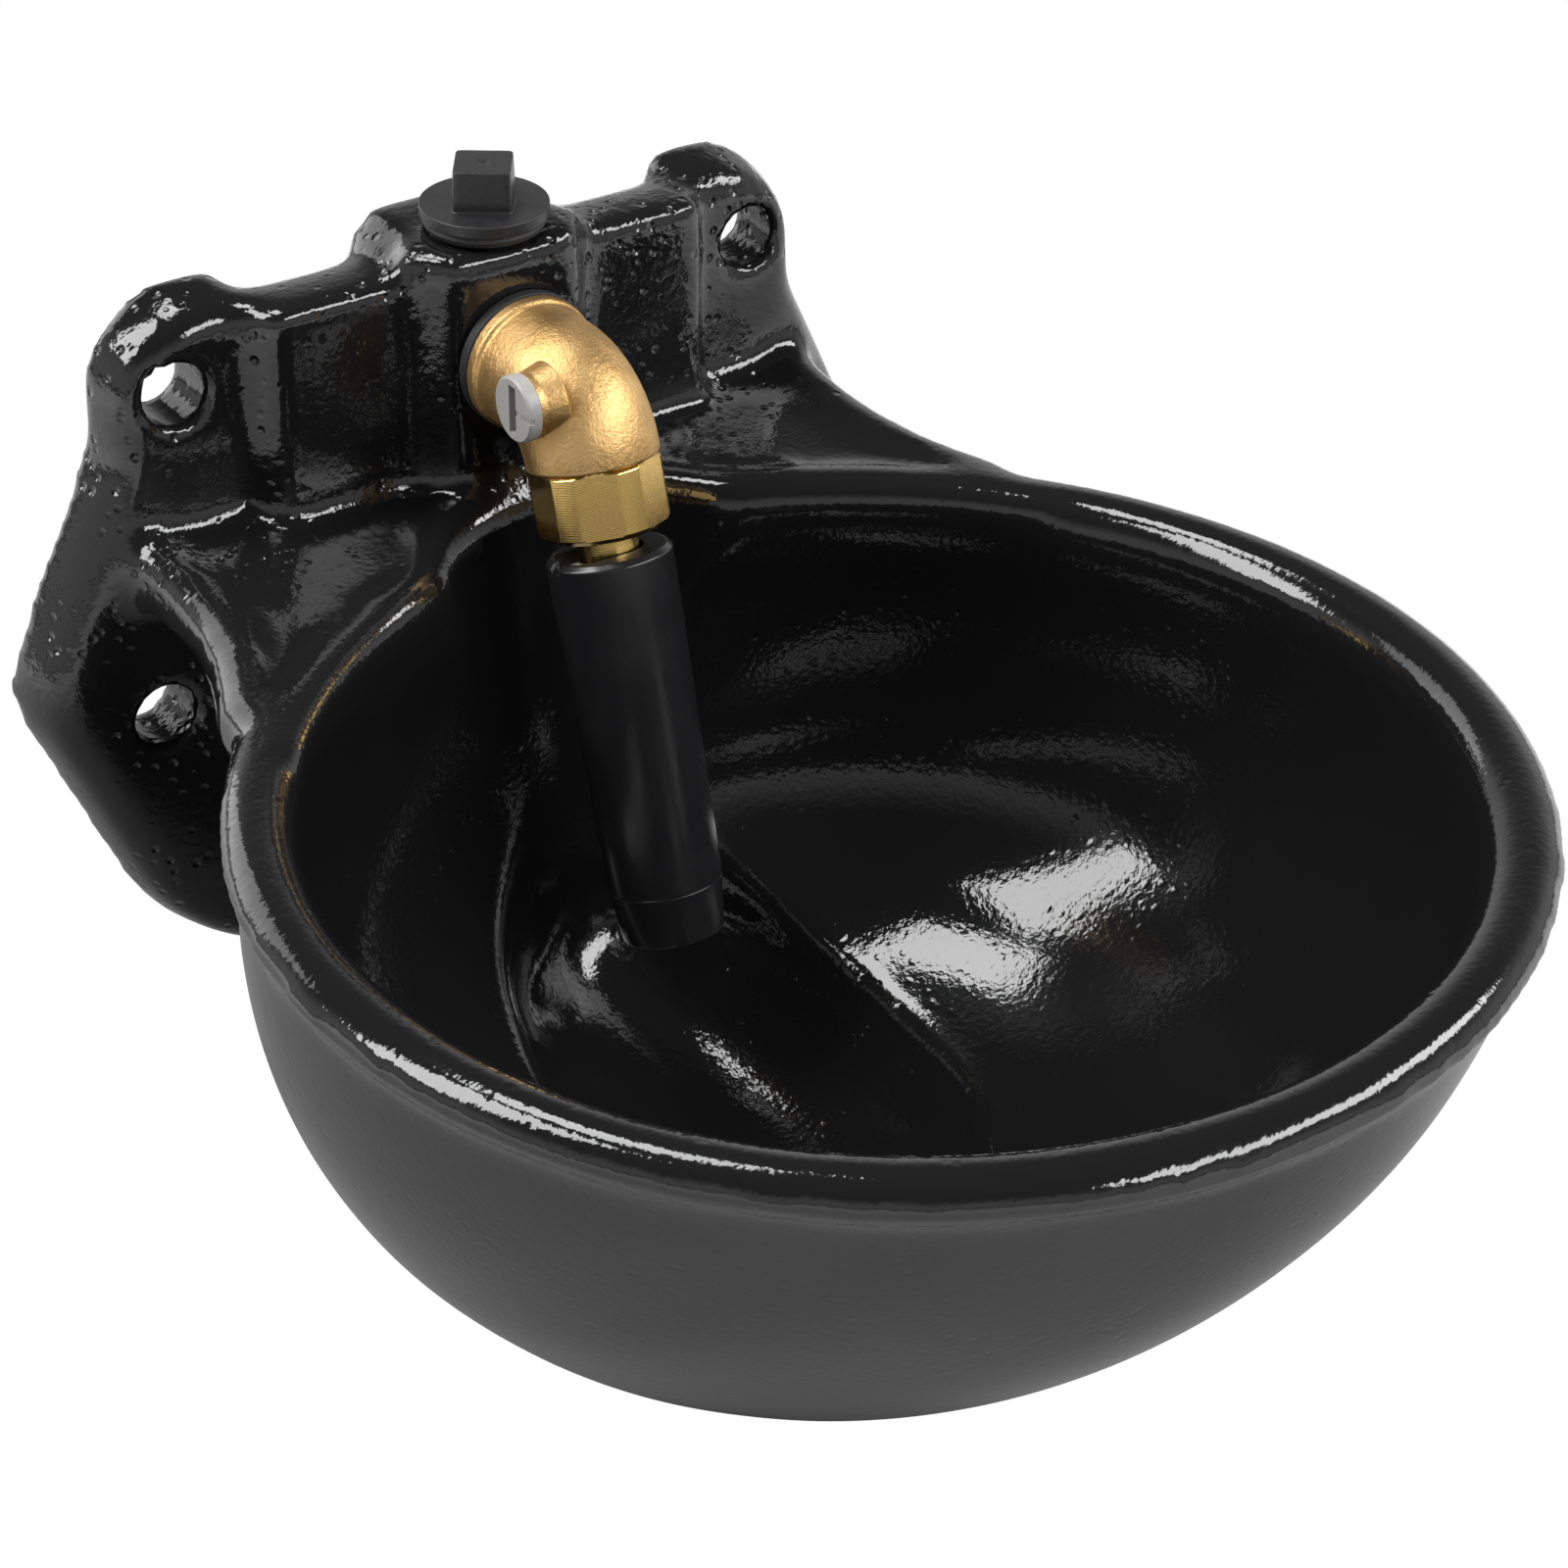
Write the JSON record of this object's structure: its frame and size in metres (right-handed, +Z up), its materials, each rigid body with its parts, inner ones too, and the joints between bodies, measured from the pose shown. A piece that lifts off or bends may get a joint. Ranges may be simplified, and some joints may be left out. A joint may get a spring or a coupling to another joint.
{
  "type": "livestock drinking bowl",
  "caption": "Wall-hung cast iron drinking bowl with a brass elbow and a hanging valve tube that lets water in when an animal pushes it.",
  "frame": {"origin": "on the wall plane, midway between the two upper bolt holes", "axes": "+Y into the wall, +Z up, +X to the right seen from the front; the bowl stands out along -Y"},
  "size_m": [0.2628, 0.3048, 0.2079],
  "materials": {
    "enamel": "glossy black enamel over a rough casting",
    "black_plastic": "satin moulded",
    "tube_plastic": "semi-gloss moulded",
    "grey_plastic": "light grey moulded",
    "white_plastic": "natural moulded",
    "seal_rubber": "matt",
    "cast_brass": "satin cast",
    "turned_brass": "machined bright",
    "stainless": "drawn"
  },
  "bodies": {
    "root": {"bowl_casting": "enamel", "top_plug": "black_plastic", "top_plug_seal": "seal_rubber", "elbow_seal": "seal_rubber", "valve_elbow": "cast_brass", "inlet_strainer": "white_plastic", "valve_nut": "turned_brass", "nut_gasket": "seal_rubber", "valve_seat": "seal_rubber", "valve_cage": "white_plastic", "valve_spring": "stainless"},
    "flow_regulator": {"flow_screw": "grey_plastic", "flow_screw_o_ring": "seal_rubber"},
    "valve_stem": {"valve_disc": "turned_brass", "valve_pin": "stainless", "pin_foot": "black_plastic"},
    "swivel": {"glide_ring": "white_plastic"},
    "drink_tube": {"tube_collar": "tube_plastic", "valve_tube": "tube_plastic", "tube_bridge": "tube_plastic", "tube_tip": "tube_plastic"}
  },
  "joints": [
    {"name": "tube_swivel", "type": "hinge", "parent": "root", "child": "swivel", "pos_m": [0, -0.07126, -0.03564], "axis": [0, 0.289, 0.9573], "continuous": true},
    {"name": "tube_tilt", "type": "hinge", "parent": "swivel", "child": "drink_tube", "pos_m": [0, -0.08006, -0.03298], "axis": [1, 0, 0], "range_deg": [0, 8], "stiffness_Nm_per_rad": 0.1, "springref_deg": -17.19},
    {"name": "pin_lift", "type": "slide", "parent": "root", "child": "valve_stem", "axis": [0, 0.289, 0.9573], "range_m": [0, 0.00125], "deforming": ["valve_spring"]},
    {"name": "flow_turn", "type": "hinge", "parent": "root", "child": "flow_regulator", "pos_m": [0, -0.0615, 0.0012], "axis": [1, 0, 0], "range_deg": [0, 90]}
  ],
  "couplings": [
    {"joint": "pin_lift", "follows": "tube_tilt", "m_per_rad": 0.0085944}
  ]
}
